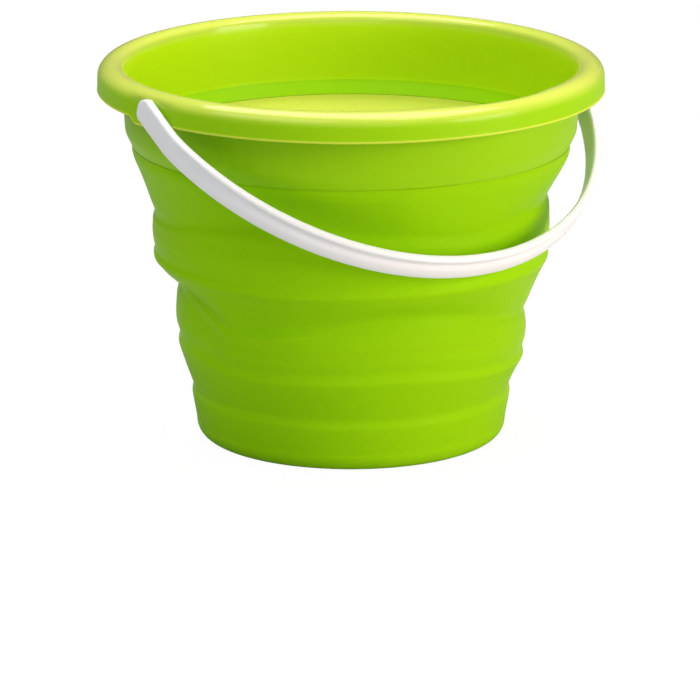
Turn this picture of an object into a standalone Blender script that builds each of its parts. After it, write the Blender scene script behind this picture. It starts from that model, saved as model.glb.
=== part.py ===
"""Collapsible camp bucket: rigid rim and base, soft folding wall, bail handle.

Metres, +Z up. The origin is the centre of the base's underside. The handle's pivots lie
along X, the pour spout points to -Y and the hang tab and grip recess are on the +Y side.
"""
import math

import bmesh
import bpy
from mathutils import Matrix, Vector

# Gaps between neighbouring pieces
SEAM_GAP = 0.0003
PIVOT_CLEARANCE = 0.0003

# Walls
SOFT_WALL = 0.0022
RIGID_WALL = 0.0025
FLOOR_THICKNESS = 0.0025

# Heights of the wall's zones with the bucket open, from the floor up
BASE_CUP_HEIGHT = 0.032
LOWER_WEB_DROP = 0.027
LOWER_BAND_HEIGHT = 0.031
MIDDLE_WEB_DROP = 0.034
UPPER_BAND_HEIGHT = 0.031
UPPER_WEB_DROP = 0.0335
CUFF_HEIGHT = 0.002
COLLAR_TAPER_HEIGHT = 0.009
COLLAR_HEIGHT = 0.0435

# Outer radius of the foot, and how far each zone of the wall steps out from the one under it
FOOT_RADIUS = 0.0885
BASE_CORNER_RADIUS = 0.010
BASE_FLARE = 0.003
LOWER_WEB_STEP = 0.0085
MIDDLE_WEB_STEP = 0.014
UPPER_WEB_STEP = 0.0123
BAND_FLARE = 0.001
COLLAR_STEP = 0.0047
CUFF_LAP_HEIGHT = 0.0028
CUFF_LAP_THICKNESS = 0.0014

# Lip and hanging skirt of the rim, stepping out from the collar
LIP_STEP = 0.007
LIP_OVERHANG = 0.010
SKIRT_DEPTH = 0.0185
LIP_EDGE_DROP = 0.009
LIP_INNER_DROP = 0.0026
LIP_CROWN_DROP = 0.0004
LIP_FLARE = 0.003
INNER_WALL_FLARE = 0.001
INNER_WALL_DROP = 0.0135

# Pour spout, pressed outwards in the inner wall and the lip
SPOUT_HALF_ANGLE = math.radians(17)
SPOUT_REACH = 0.0045
SPOUT_DIP = 0.0004
SPOUT_HEIGHT = 0.038
SPOUT_LIP_SHARE = 0.4

# Handle pivots
PIVOT_DROP = 0.012
PIN_RADIUS = 0.003
PIN_HEAD_RADIUS = 0.004
PIN_HEAD_THICKNESS = 0.002
SHOULDER_RADIUS = 0.006
PAD_RECESS = 0.0023
PAD_RECESS_HEIGHT = 0.008
PAD_DROP = 0.0045
PAD_HALF_WIDTH = 0.016
PAD_SHOULDER = 0.007
BOSS_HALF_WIDTH = 0.008
BOSS_THICKNESS = 0.0035

# Bail handle
HANDLE_SIDE_GAP = 0.0006
HOOP_CLEARANCE = 0.0009
HANDLE_BOW = 0.003
HANDLE_THICKNESS = 0.0055
HANDLE_WIDTH = 0.018
HANDLE_EDGE_ROUND = 0.0012
HANDLE_EDGE_START = 0.9
SECTION_SHARES = (-1, -0.93, -0.8, -0.6, -0.35, -0.1, 0.1, 0.25, 0.4, 0.55, 0.7, 0.8, 0.93, 1)
HANG_CLEARANCE = 0.0055
LAID_BACK_ANGLE = math.radians(2.0)
GROOVE_DEPTH = 0.0014
GROOVE_WIDTH = 0.0055
GROOVE_EDGE = 0.002
GROOVE_START = 0.030
GROOVE_RUN_IN = 0.014

# Hang tab
TAB_HALF_WIDTH = 0.0135
TAB_REACH = 0.0235
TAB_THICKNESS = 0.0035
TAB_HOLE_RADIUS = 0.004
TAB_HOLE_MARGIN = 0.003
TAB_ROOT_SHARE = 0.8

# Finger-grip recess in the base
GRIP_HALF_WIDTH = 0.032
GRIP_HALF_DEPTH = 0.019
GRIP_HEIGHT = 0.022
GRIP_EDGE_MARGIN = 0.002

# Facets
BODY_SEGMENTS = 72
RIM_SEGMENTS = 120
HANDLE_STEPS = 48
CORNER_STEPS = 5
PIN_SEGMENTS = 20
DOME_SEGMENTS = 32
SHARP_ANGLE = math.radians(32)
MERGE_DISTANCE = 0.00001

# Heights above the floor
LOWER_BAND_Z = BASE_CUP_HEIGHT + LOWER_WEB_DROP
LOWER_BAND_TOP_Z = LOWER_BAND_Z + LOWER_BAND_HEIGHT
UPPER_BAND_Z = LOWER_BAND_TOP_Z + MIDDLE_WEB_DROP
UPPER_BAND_TOP_Z = UPPER_BAND_Z + UPPER_BAND_HEIGHT
CUFF_Z = UPPER_BAND_TOP_Z + UPPER_WEB_DROP
COLLAR_Z = CUFF_Z + CUFF_HEIGHT
COLLAR_CORNER_Z = COLLAR_Z + COLLAR_TAPER_HEIGHT
RIM_TOP_Z = COLLAR_CORNER_Z + COLLAR_HEIGHT
SKIRT_Z = RIM_TOP_Z - SKIRT_DEPTH
PIVOT_Z = RIM_TOP_Z - PIVOT_DROP

# Radii that follow from others
BASE_TOP_RADIUS = FOOT_RADIUS + BASE_CORNER_RADIUS + BASE_FLARE
LOWER_BAND_RADIUS = BASE_TOP_RADIUS + LOWER_WEB_STEP
UPPER_BAND_RADIUS = LOWER_BAND_RADIUS + BAND_FLARE + MIDDLE_WEB_STEP
CUFF_RADIUS = UPPER_BAND_RADIUS + BAND_FLARE + UPPER_WEB_STEP
COLLAR_RADIUS = CUFF_RADIUS + COLLAR_STEP
LIP_RIDGE_RADIUS = COLLAR_RADIUS + LIP_STEP
SKIRT_RADIUS = LIP_RIDGE_RADIUS + LIP_OVERHANG
COLLAR_INNER_RADIUS = COLLAR_RADIUS - RIGID_WALL
SKIRT_INNER_RADIUS = SKIRT_RADIUS - RIGID_WALL
PLATE_RADIUS = FOOT_RADIUS - SEAM_GAP - RIGID_WALL / 2
PAD_X = SKIRT_RADIUS - PAD_RECESS
HANDLE_INNER_X = PAD_X + HANDLE_SIDE_GAP
HANDLE_MID_X = HANDLE_INNER_X + HANDLE_THICKNESS / 2
HOOP_FRONT_RADIUS = SKIRT_RADIUS + HOOP_CLEARANCE + HANDLE_BOW
GRIP_CENTRE_Y = PLATE_RADIUS - GRIP_EDGE_MARGIN - GRIP_HALF_DEPTH


def clear_scene():
    for old in list(bpy.data.objects):
        bpy.data.objects.remove(old, do_unlink=True)


def make_material(name, colour, roughness):
    material = bpy.data.materials.new(name)
    material.use_nodes = True
    shader = material.node_tree.nodes["Principled BSDF"]
    shader.inputs["Base Color"].default_value = (*colour, 1.0)
    shader.inputs["Roughness"].default_value = roughness
    shader.inputs["Metallic"].default_value = 0.0
    return material


def add_object(name, bm, material, parent=None, location=(0, 0, 0)):
    """Turn a bmesh into a shaded object, placed under its parent."""
    bmesh.ops.remove_doubles(bm, verts=bm.verts, dist=MERGE_DISTANCE)
    bmesh.ops.recalc_face_normals(bm, faces=bm.faces)
    mesh = bpy.data.meshes.new(name)
    bm.to_mesh(mesh)
    bm.free()
    mesh.shade_smooth()
    mesh.set_sharp_from_angle(angle=SHARP_ANGLE)
    if material:
        mesh.materials.append(material)
    new = bpy.data.objects.new(name, mesh)
    bpy.context.collection.objects.link(new)
    new.parent = parent
    new.location = location
    return new


def add_empty(name, parent, location, turn_x=0.0):
    empty = bpy.data.objects.new(name, None)
    bpy.context.collection.objects.link(empty)
    empty.parent = parent
    empty.location = location
    empty.rotation_euler = (turn_x, 0, 0)
    return empty


def hide_guide(guide):
    guide.hide_render = True
    guide.display_type = "WIRE"


def add_boolean(target, cutter, operation):
    modifier = target.modifiers.new(operation.title() + " " + cutter.name, "BOOLEAN")
    modifier.operation = operation
    modifier.solver = "EXACT"
    modifier.object = cutter
    hide_guide(cutter)


def turned_mesh(profile, segments):
    """Turn a closed profile of (radius, height) points about Z."""
    bm = bmesh.new()
    verts = [bm.verts.new((radius, 0, height)) for radius, height in profile]
    edges = [bm.edges.new((verts[i], verts[(i + 1) % len(verts)])) for i in range(len(verts))]
    bmesh.ops.spin(
        bm,
        geom=verts + edges,
        cent=(0, 0, 0),
        axis=(0, 0, 1),
        angle=2 * math.pi,
        steps=segments,
        use_merge=True,
    )
    return bm


def arc_points(centre, radius, start, end, steps):
    """Points (radius, height) along an arc, angles in degrees from the outward direction."""
    points = []
    for i in range(steps + 1):
        angle = math.radians(start + (end - start) * i / steps)
        points.append((centre[0] + radius * math.cos(angle), centre[1] + radius * math.sin(angle)))
    return points


def smooth_ramp(value, start, end):
    """0 before start, 1 after end, smooth between them."""
    t = min(1.0, max(0.0, (value - start) / (end - start)))
    return t * t * (3 - 2 * t)


def shell_profile(bottom, top):
    """Section of a wall zone between two outer points, less half a seam at each end."""
    (low_radius, low_z), (high_radius, high_z) = bottom, top
    low_z += SEAM_GAP / 2
    high_z -= SEAM_GAP / 2
    return [
        (low_radius, low_z),
        (high_radius, high_z),
        (high_radius - SOFT_WALL, high_z),
        (low_radius - SOFT_WALL, low_z),
    ]


def make_soft_wall(material, lower_body, upper_body):
    """Fold webs and standing bands. Each web belongs to the body under it."""
    corners = {
        "lower_web": ((BASE_TOP_RADIUS, BASE_CUP_HEIGHT), (LOWER_BAND_RADIUS, LOWER_BAND_Z)),
        "lower_ring": (
            (LOWER_BAND_RADIUS, LOWER_BAND_Z),
            (LOWER_BAND_RADIUS + BAND_FLARE, LOWER_BAND_TOP_Z),
        ),
        "middle_web": (
            (LOWER_BAND_RADIUS + BAND_FLARE, LOWER_BAND_TOP_Z),
            (UPPER_BAND_RADIUS, UPPER_BAND_Z),
        ),
        "upper_ring": (
            (UPPER_BAND_RADIUS, UPPER_BAND_Z),
            (UPPER_BAND_RADIUS + BAND_FLARE, UPPER_BAND_TOP_Z),
        ),
        "upper_web": ((UPPER_BAND_RADIUS + BAND_FLARE, UPPER_BAND_TOP_Z), (CUFF_RADIUS, CUFF_Z)),
    }
    parents = {
        "lower_web": None,
        "lower_ring": lower_body,
        "middle_web": lower_body,
        "upper_ring": upper_body,
        "upper_web": upper_body,
    }
    for name, (bottom, top) in corners.items():
        zone = add_object(name, turned_mesh(shell_profile(bottom, top), BODY_SEGMENTS), material)
        place_under(zone, parents[name])


def place_under(piece, parent):
    """Parent a piece whose mesh is in world coordinates."""
    if parent:
        piece.parent = parent
        piece.location = -world_location(parent)


def world_location(empty):
    total = Vector((0, 0, 0))
    while empty:
        total += empty.location
        empty = empty.parent
    return total


def make_base_cup(material):
    """Soft cup round the base, with a rounded corner down to the floor."""
    corner_centre = (FOOT_RADIUS, BASE_CORNER_RADIUS)
    wall_top = BASE_CUP_HEIGHT - SEAM_GAP / 2
    shelf_radius = PLATE_RADIUS + SEAM_GAP
    profile = [(shelf_radius, 0.0)]
    profile += arc_points(corner_centre, BASE_CORNER_RADIUS, -90, 0, CORNER_STEPS)
    profile.append((BASE_TOP_RADIUS, wall_top))
    profile.append((BASE_TOP_RADIUS - SOFT_WALL, wall_top))
    inner_corner = BASE_CORNER_RADIUS - SOFT_WALL
    profile += arc_points(corner_centre, inner_corner, 0, -90, CORNER_STEPS)
    profile.append((shelf_radius, SOFT_WALL))
    add_object("base_cup", turned_mesh(profile, BODY_SEGMENTS), material)


def make_base_plate(material):
    """Rigid floor with the finger-grip recess pressed up into it."""
    bm = bmesh.new()
    bmesh.ops.create_cone(
        bm,
        cap_ends=True,
        segments=BODY_SEGMENTS,
        radius1=PLATE_RADIUS,
        radius2=PLATE_RADIUS,
        depth=FLOOR_THICKNESS,
        matrix=Matrix.Translation((0, 0, FLOOR_THICKNESS / 2)),
    )
    plate = add_object("base_plate", bm, material)
    for name, wall, operation in (("grip_dome", 0.0, "UNION"), ("grip_hollow", RIGID_WALL, "DIFFERENCE")):
        half_sizes = (GRIP_HALF_WIDTH - wall, GRIP_HALF_DEPTH - wall, GRIP_HEIGHT - wall)
        bm = bmesh.new()
        bmesh.ops.create_uvsphere(
            bm,
            u_segments=DOME_SEGMENTS,
            v_segments=DOME_SEGMENTS // 2,
            radius=1.0,
            matrix=Matrix.Diagonal((*half_sizes, 1.0)),
        )
        if operation == "UNION":
            flatten_below(bm, FLOOR_THICKNESS / 2)
        dome = add_object(name, bm, None, location=(0, GRIP_CENTRE_Y, 0))
        add_boolean(plate, dome, operation)


def flatten_below(bm, height):
    """Cut away what lies below a height and close the cut."""
    cut = bmesh.ops.bisect_plane(
        bm,
        geom=list(bm.verts) + list(bm.edges) + list(bm.faces),
        plane_co=(0, 0, height),
        plane_no=(0, 0, 1),
        clear_inner=True,
    )
    edges = [item for item in cut["geom_cut"] if isinstance(item, bmesh.types.BMEdge)]
    bmesh.ops.edgeloop_fill(bm, edges=edges)


def make_soft_cuff(material, rim_body):
    """Edge of the soft wall, bonded under the collar and lapping up inside it."""
    low = CUFF_Z + SEAM_GAP / 2
    seam = COLLAR_Z - SEAM_GAP
    lap_top = COLLAR_Z + CUFF_LAP_HEIGHT
    lap_outer_low = collar_inner_radius_at(COLLAR_Z) - SEAM_GAP
    lap_outer_high = collar_inner_radius_at(lap_top) - SEAM_GAP
    profile = [
        (CUFF_RADIUS, low),
        (CUFF_RADIUS, seam),
        (lap_outer_low, seam),
        (lap_outer_high, lap_top),
        (lap_outer_high - CUFF_LAP_THICKNESS, lap_top),
        (lap_outer_low - CUFF_LAP_THICKNESS, seam),
        (CUFF_RADIUS - SOFT_WALL - CUFF_LAP_THICKNESS, low),
    ]
    cuff = add_object("soft_cuff", turned_mesh(profile, BODY_SEGMENTS), material)
    place_under(cuff, rim_body)


def collar_inner_radius_at(height):
    """Inner radius of the collar's taper."""
    share = (height - COLLAR_Z) / COLLAR_TAPER_HEIGHT
    low = CUFF_RADIUS - RIGID_WALL
    return low + (COLLAR_INNER_RADIUS - low) * share


def rim_profile():
    """Closed section of the rim: collar inside, lip, skirt, and back under the lip."""
    edge_z = RIM_TOP_Z - LIP_EDGE_DROP
    inner_z = RIM_TOP_Z - LIP_INNER_DROP
    inner_edge = COLLAR_INNER_RADIUS + LIP_FLARE
    ridge = LIP_RIDGE_RADIUS
    under_ridge_z = RIM_TOP_Z - RIGID_WALL
    rise = RIM_TOP_Z - edge_z
    run = SKIRT_RADIUS - ridge
    outer_lip = []
    under_lip = []
    for i in range(1, CORNER_STEPS + 1):
        angle = math.pi / 2 * i / CORNER_STEPS
        outer_lip.append((ridge + run * math.sin(angle), edge_z + rise * math.cos(angle)))
        under_lip.append(
            (
                ridge + (run - RIGID_WALL) * math.sin(angle),
                edge_z + (rise - RIGID_WALL) * math.cos(angle),
            )
        )
    profile = [
        (collar_inner_radius_at(COLLAR_Z), COLLAR_Z),
        (COLLAR_INNER_RADIUS, COLLAR_CORNER_Z),
        (COLLAR_INNER_RADIUS + INNER_WALL_FLARE, RIM_TOP_Z - INNER_WALL_DROP),
        (inner_edge, inner_z),
        ((inner_edge + ridge) / 2, RIM_TOP_Z - LIP_CROWN_DROP),
        (ridge, RIM_TOP_Z),
    ]
    profile += outer_lip
    profile.append((SKIRT_RADIUS, SKIRT_Z))
    profile.append((SKIRT_INNER_RADIUS, SKIRT_Z))
    profile += reversed(under_lip)
    profile += [
        (ridge, under_ridge_z),
        (inner_edge + RIGID_WALL, inner_z - RIGID_WALL),
        (COLLAR_RADIUS + INNER_WALL_FLARE, RIM_TOP_Z - INNER_WALL_DROP),
        (COLLAR_RADIUS, COLLAR_CORNER_Z),
        (CUFF_RADIUS, COLLAR_Z),
    ]
    return profile


def shape_rim_point(point):
    """Press the spout into the inner wall, and flatten and lower the skirt at the pivots."""
    radius = math.hypot(point.x, point.y)
    from_spout = abs(math.atan2(point.x, -point.y))
    if from_spout < SPOUT_HALF_ANGLE:
        across = math.cos(math.pi / 2 * from_spout / SPOUT_HALF_ANGLE)
        share = min(1.0, max(0.0, (SKIRT_RADIUS - radius) / (SKIRT_RADIUS - LIP_RIDGE_RADIUS)))
        push = SPOUT_REACH * (SPOUT_LIP_SHARE * share + (1 - SPOUT_LIP_SHARE) * inner_share(radius))
        rise = smooth_ramp(point.z, RIM_TOP_Z - SPOUT_HEIGHT, RIM_TOP_Z - LIP_EDGE_DROP)
        scale = (radius + push * across * rise) / radius
        point.x *= scale
        point.y *= scale
        point.z -= SPOUT_DIP * across * share * rise
    if radius > LIP_RIDGE_RADIUS:
        lip_edge_z = RIM_TOP_Z - LIP_EDGE_DROP
        beyond_pad = max(0.0, SKIRT_RADIUS * abs(point.x) / radius - PAD_X)
        share = 1 - smooth_ramp(point.z, lip_edge_z, lip_edge_z + PAD_RECESS_HEIGHT)
        point.x -= math.copysign(beyond_pad * share, point.x)
        if point.z < SKIRT_Z + SEAM_GAP:
            shoulder_end = PAD_HALF_WIDTH + PAD_SHOULDER
            point.z -= PAD_DROP * (1 - smooth_ramp(abs(point.y), PAD_HALF_WIDTH, shoulder_end))


def inner_share(radius):
    """1 on the collar, 0 on the lip's ridge."""
    return min(1.0, max(0.0, (LIP_RIDGE_RADIUS - radius) / (LIP_RIDGE_RADIUS - COLLAR_RADIUS)))


def make_rim_frame(material, rim_body):
    bm = turned_mesh(rim_profile(), RIM_SEGMENTS)
    bmesh.ops.remove_doubles(bm, verts=bm.verts, dist=MERGE_DISTANCE)
    for vert in bm.verts:
        shape_rim_point(vert.co)
    rim = add_object("rim_frame", bm, material)
    place_under(rim, rim_body)
    for side in (-1, 1):
        add_boolean(rim, make_pivot_boss(side), "UNION")
        add_boolean(rim, make_pivot_hole(side), "DIFFERENCE")
    add_boolean(rim, make_tab(), "UNION")
    add_boolean(rim, make_tab_hole(), "DIFFERENCE")


def side_name(side):
    return "right" if side > 0 else "left"


def make_pivot_boss(side):
    """Thick place inside the skirt that carries the handle's pin."""
    inner = PAD_X - RIGID_WALL - BOSS_THICKNESS
    outer = PAD_X - RIGID_WALL / 2
    low = SKIRT_Z - PAD_DROP / 2
    high = PIVOT_Z + PIN_HEAD_RADIUS
    size = (outer - inner, 2 * BOSS_HALF_WIDTH, high - low)
    bm = bmesh.new()
    bmesh.ops.create_cube(bm, size=1.0, matrix=Matrix.Diagonal((*size, 1.0)))
    place = (side * (inner + outer) / 2, 0, (low + high) / 2)
    return add_object("pivot_boss_" + side_name(side), bm, None, location=place)


def make_rod(name, radius, length, turn, location):
    """Round bar that cuts a hole, turned from standing upright."""
    bm = bmesh.new()
    bmesh.ops.create_cone(
        bm,
        cap_ends=True,
        segments=PIN_SEGMENTS,
        radius1=radius,
        radius2=radius,
        depth=length,
        matrix=turn,
    )
    return add_object(name, bm, None, location=location)


def make_pivot_hole(side):
    inner = PAD_X - RIGID_WALL - 2 * BOSS_THICKNESS
    outer = SKIRT_RADIUS + RIGID_WALL
    return make_rod(
        "pivot_hole_" + side_name(side),
        PIN_RADIUS + PIVOT_CLEARANCE,
        outer - inner,
        Matrix.Rotation(math.pi / 2, 4, "Y"),
        (side * (inner + outer) / 2, 0, PIVOT_Z),
    )


def hang_angle():
    """How far the handle hangs below level, its lower edge a clearance off the upper band."""
    edge_reach = math.hypot(HOOP_FRONT_RADIUS, HANDLE_WIDTH / 2)
    edge_drop = math.atan2(HANDLE_WIDTH / 2, HOOP_FRONT_RADIUS)
    return math.acos((UPPER_BAND_RADIUS + HANG_CLEARANCE) / edge_reach) - edge_drop


def tab_top():
    """Height of the tab's top, which carries the handle laid back."""
    lift = HOOP_FRONT_RADIUS * math.sin(LAID_BACK_ANGLE)
    return PIVOT_Z + lift - HANDLE_WIDTH / 2 - SEAM_GAP


def make_tab():
    """Flat hang tab with a round end, rooted inside the skirt's wall."""
    root_y = SKIRT_RADIUS - RIGID_WALL * TAB_ROOT_SHARE
    round_y = SKIRT_RADIUS + TAB_REACH - TAB_HALF_WIDTH
    outline = [(-TAB_HALF_WIDTH, root_y), (TAB_HALF_WIDTH, root_y)]
    outline += arc_points((0, round_y), TAB_HALF_WIDTH, 0, 180, 4 * CORNER_STEPS)
    bm = bmesh.new()
    low = tab_top() - TAB_THICKNESS
    face = bm.faces.new([bm.verts.new((x, y, low)) for x, y in outline])
    extruded = bmesh.ops.extrude_face_region(bm, geom=[face])
    raised = [item for item in extruded["geom"] if isinstance(item, bmesh.types.BMVert)]
    bmesh.ops.translate(bm, verts=raised, vec=(0, 0, TAB_THICKNESS))
    return add_object("tab_plate", bm, None)


def make_tab_hole():
    hole_y = SKIRT_RADIUS + TAB_REACH - TAB_HOLE_MARGIN - TAB_HOLE_RADIUS
    place = (0, hole_y, tab_top() - TAB_THICKNESS / 2)
    return make_rod("tab_hole", TAB_HOLE_RADIUS, 4 * TAB_THICKNESS, Matrix.Identity(4), place)


def handle_section(groove):
    """Section of the handle as rows of (across, inner depth, outer depth) from edge to edge."""
    half = HANDLE_WIDTH / 2
    middle = half - GROOVE_EDGE - GROOVE_WIDTH / 2
    rows = []
    for share in SECTION_SHARES:
        across = half * share
        edge_share = max(0.0, abs(share) - HANDLE_EDGE_START) / (1 - HANDLE_EDGE_START)
        inset = HANDLE_EDGE_ROUND * edge_share
        offset = (across - middle) / (GROOVE_WIDTH / 2)
        dent = GROOVE_DEPTH * max(0.0, 1 - offset * offset) * groove
        rows.append((across, inset, HANDLE_THICKNESS - inset - dent))
    return rows


def hoop_radius(angle):
    """Inner radius of the hoop: straight along the pads, then bowed out clear of the skirt."""
    bowed = SKIRT_RADIUS + HOOP_CLEARANCE + HANDLE_BOW * math.sin(angle) ** 2
    if abs(math.cos(angle)) * bowed > HANDLE_INNER_X:
        return HANDLE_INNER_X / abs(math.cos(angle))
    return bowed


def handle_ring(bm, angle, groove, round_end=False):
    """One ring of vertices round the section, at an angle along the hoop."""
    radial = Vector((math.cos(angle), -math.sin(angle), 0))
    ring = []
    rows = handle_section(groove)
    for inner_side in (True, False):
        for across, inner, outer in rows if inner_side else reversed(rows):
            depth = inner if inner_side else outer
            place = radial * (hoop_radius(angle) + depth) + Vector((0, 0, across))
            if round_end:
                half = HANDLE_WIDTH / 2
                place.y += math.sqrt(max(0.0, half * half - across * across))
            ring.append(bm.verts.new(place))
    return ring


def make_handle(material, handle_pivot):
    """Half hoop from pivot to pivot, with half-round ends and pins in one with it."""
    bm = bmesh.new()
    rings = [handle_ring(bm, 0.0, 0.0, round_end=True)]
    for i in range(HANDLE_STEPS + 1):
        angle = math.pi * i / HANDLE_STEPS
        from_end = min(angle, math.pi - angle) * HANDLE_MID_X
        groove = smooth_ramp(from_end, GROOVE_START, GROOVE_START + GROOVE_RUN_IN)
        rings.append(handle_ring(bm, angle, groove))
    rings.append(handle_ring(bm, math.pi, 0.0, round_end=True))
    count = len(rings[0])
    for first, second in zip(rings, rings[1:]):
        for i in range(count):
            j = (i + 1) % count
            bm.faces.new((first[i], first[j], second[j], second[i]))
    for ring in (rings[0], rings[-1]):
        for i in range(count // 2 - 1):
            bm.faces.new((ring[i], ring[i + 1], ring[count - 2 - i], ring[count - 1 - i]))
    bmesh.ops.remove_doubles(bm, verts=bm.verts, dist=MERGE_DISTANCE)
    bmesh.ops.dissolve_degenerate(bm, edges=bm.edges, dist=MERGE_DISTANCE)
    handle = add_object("bail_handle", bm, material, parent=handle_pivot)
    for side in (-1, 1):
        add_boolean(handle, make_pin(side, handle_pivot), "UNION")


def make_pin(side, handle_pivot):
    """Shoulder, shank and head of one pivot pin, turned about X."""
    head_start = PAD_X - RIGID_WALL - BOSS_THICKNESS - SEAM_GAP
    head_end = head_start - PIN_HEAD_THICKNESS
    shoulder_end = PAD_X + SEAM_GAP
    outline = [
        (head_end, PIN_HEAD_RADIUS - SEAM_GAP),
        (head_end + SEAM_GAP, PIN_HEAD_RADIUS),
        (head_start, PIN_HEAD_RADIUS),
        (head_start, PIN_RADIUS),
        (shoulder_end, PIN_RADIUS),
        (shoulder_end, SHOULDER_RADIUS),
        (HANDLE_MID_X, SHOULDER_RADIUS),
    ]
    bm = bmesh.new()
    verts = [bm.verts.new((side * head_end, 0, 0))]
    verts += [bm.verts.new((side * x, 0, radius)) for x, radius in outline]
    verts.append(bm.verts.new((side * HANDLE_MID_X, 0, 0)))
    edges = [bm.edges.new(pair) for pair in zip(verts, verts[1:])]
    bmesh.ops.spin(
        bm,
        geom=verts + edges,
        cent=(0, 0, 0),
        axis=(1, 0, 0),
        angle=2 * math.pi,
        steps=PIN_SEGMENTS,
        use_merge=True,
    )
    return add_object("pin_" + side_name(side), bm, None, parent=handle_pivot)


def main():
    clear_scene()
    soft_green = make_material("soft_green", (0.50, 0.70, 0.05), 0.5)
    rim_green = make_material("rim_green", (0.42, 0.62, 0.03), 0.25)
    plate_green = make_material("plate_green", (0.45, 0.65, 0.04), 0.35)
    handle_white = make_material("handle_white", (0.85, 0.86, 0.86), 0.3)
    lower_body = add_empty("lower_body", None, (0, 0, LOWER_BAND_Z))
    upper_body = add_empty("upper_body", lower_body, (0, 0, UPPER_BAND_Z - LOWER_BAND_Z))
    rim_body = add_empty("rim_body", upper_body, (0, 0, COLLAR_Z - UPPER_BAND_Z))
    handle_pivot = add_empty("handle_pivot", rim_body, (0, 0, PIVOT_Z - COLLAR_Z), hang_angle())
    make_base_plate(plate_green)
    make_base_cup(soft_green)
    make_soft_wall(soft_green, lower_body, upper_body)
    make_soft_cuff(soft_green, rim_body)
    make_rim_frame(rim_green, rim_body)
    make_handle(handle_white, handle_pivot)


main()
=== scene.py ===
import math

import bpy
from mathutils import Matrix, Vector


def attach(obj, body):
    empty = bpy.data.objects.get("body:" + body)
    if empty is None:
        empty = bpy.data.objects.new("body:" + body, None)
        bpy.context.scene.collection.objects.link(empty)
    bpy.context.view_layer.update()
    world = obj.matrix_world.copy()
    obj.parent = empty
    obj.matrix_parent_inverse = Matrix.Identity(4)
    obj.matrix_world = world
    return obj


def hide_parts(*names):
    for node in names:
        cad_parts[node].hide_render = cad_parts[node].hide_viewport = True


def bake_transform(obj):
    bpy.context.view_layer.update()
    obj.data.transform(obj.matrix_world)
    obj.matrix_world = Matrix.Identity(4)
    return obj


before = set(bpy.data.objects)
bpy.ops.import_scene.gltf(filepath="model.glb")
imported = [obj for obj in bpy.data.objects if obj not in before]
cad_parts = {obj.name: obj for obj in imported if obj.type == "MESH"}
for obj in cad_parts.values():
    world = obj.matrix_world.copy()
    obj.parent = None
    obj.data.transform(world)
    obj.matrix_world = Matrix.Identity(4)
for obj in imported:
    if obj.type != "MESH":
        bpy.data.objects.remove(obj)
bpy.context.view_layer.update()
deg = math.radians
mm = 0.001

# lengths are in metres and angles in degrees, unless a note says mm

studio = {
    "azimuth": -38.7,
    "cameraDistance": 3.600,
    "cameraHeight": 1.0158,
    "pitch": 14.967,
    "yaw": 0.0102,
    "lens": 300.15,
    "sensor": 36,
    "floorDrop": 0.0004,
    "floorSize": 30,
    "floorGrey": (0.55, 0.55, 0.55, 1),
    "floorRoughness": 0.9,
    "floorWhite": 1.05,
    "floorWhiteShare": 0.92,
    "skyLight": 0.14,
    "lampAim": (0, 0, 0.14),
}


# modelling helpers

def deselectAll():
    if bpy.context.mode != "OBJECT":
        bpy.ops.object.mode_set(mode="OBJECT")
    bpy.ops.object.select_all(action="DESELECT")


def workOn(piece):
    deselectAll()
    piece.select_set(True)
    bpy.context.view_layer.objects.active = piece


def nameNew(name):
    piece = bpy.context.object
    piece.name = name
    piece.data.name = name
    return piece


def placeInMesh(piece):
    workOn(piece)
    bpy.ops.object.transform_apply(location=True, rotation=True, scale=True)


def applyModifier(piece, kind, **settings):
    workOn(piece)
    bpy.ops.object.modifier_add(type=kind)
    modifier = piece.modifiers[-1]
    for key, value in settings.items():
        setattr(modifier, key, value)
    bpy.ops.object.modifier_apply(modifier=modifier.name)


def weldAndTurnOut(piece, gap=0.00001):
    workOn(piece)
    bpy.ops.object.mode_set(mode="EDIT")
    bpy.ops.mesh.select_all(action="SELECT")
    bpy.ops.mesh.remove_doubles(threshold=gap)
    bpy.ops.mesh.normals_make_consistent(inside=False)
    bpy.ops.object.mode_set(mode="OBJECT")


def shadeSmooth(piece, angle):
    workOn(piece)
    bpy.ops.object.shade_smooth_by_angle(angle=deg(angle))


def turnedRows(name, rows, sides):
    # a circle pulled up through rows of (radius, height), as on a lathe
    deselectAll()
    radius, height = rows[0]
    bpy.ops.mesh.primitive_circle_add(vertices=sides, radius=radius, location=(0, 0, height))
    piece = nameNew(name)
    placeInMesh(piece)
    bpy.ops.object.mode_set(mode="EDIT")
    bpy.ops.mesh.select_all(action="SELECT")
    for (r0, z0), (r1, z1) in zip(rows, rows[1:]):
        bpy.ops.mesh.extrude_region_move(TRANSFORM_OT_translate={"value": (0, 0, z1 - z0)})
        grow = r1 / r0
        bpy.ops.transform.resize(value=(grow, grow, 1), center_override=(0, 0, z1))
    bpy.ops.object.mode_set(mode="OBJECT")
    return piece


def flipNormals(piece):
    workOn(piece)
    bpy.ops.object.mode_set(mode="EDIT")
    bpy.ops.mesh.select_all(action="SELECT")
    bpy.ops.mesh.flip_normals()
    bpy.ops.object.mode_set(mode="OBJECT")


def turnOpenShellOut(piece):
    lean = sum(f.normal.x * f.center.x + f.normal.y * f.center.y for f in piece.data.polygons)
    if lean < 0:
        flipNormals(piece)


def bevelEdges(piece, width, segments, angle):
    applyModifier(
        piece, "BEVEL", width=width, segments=segments, limit_method="ANGLE", angle_limit=deg(angle)
    )


def selectVertices(piece, test):
    workOn(piece)
    bpy.ops.object.mode_set(mode="EDIT")
    bpy.ops.mesh.select_mode(type="VERT")
    bpy.ops.mesh.select_all(action="DESELECT")
    bpy.ops.object.mode_set(mode="OBJECT")
    for vertex in piece.data.vertices:
        vertex.select = test(vertex.co)


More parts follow.
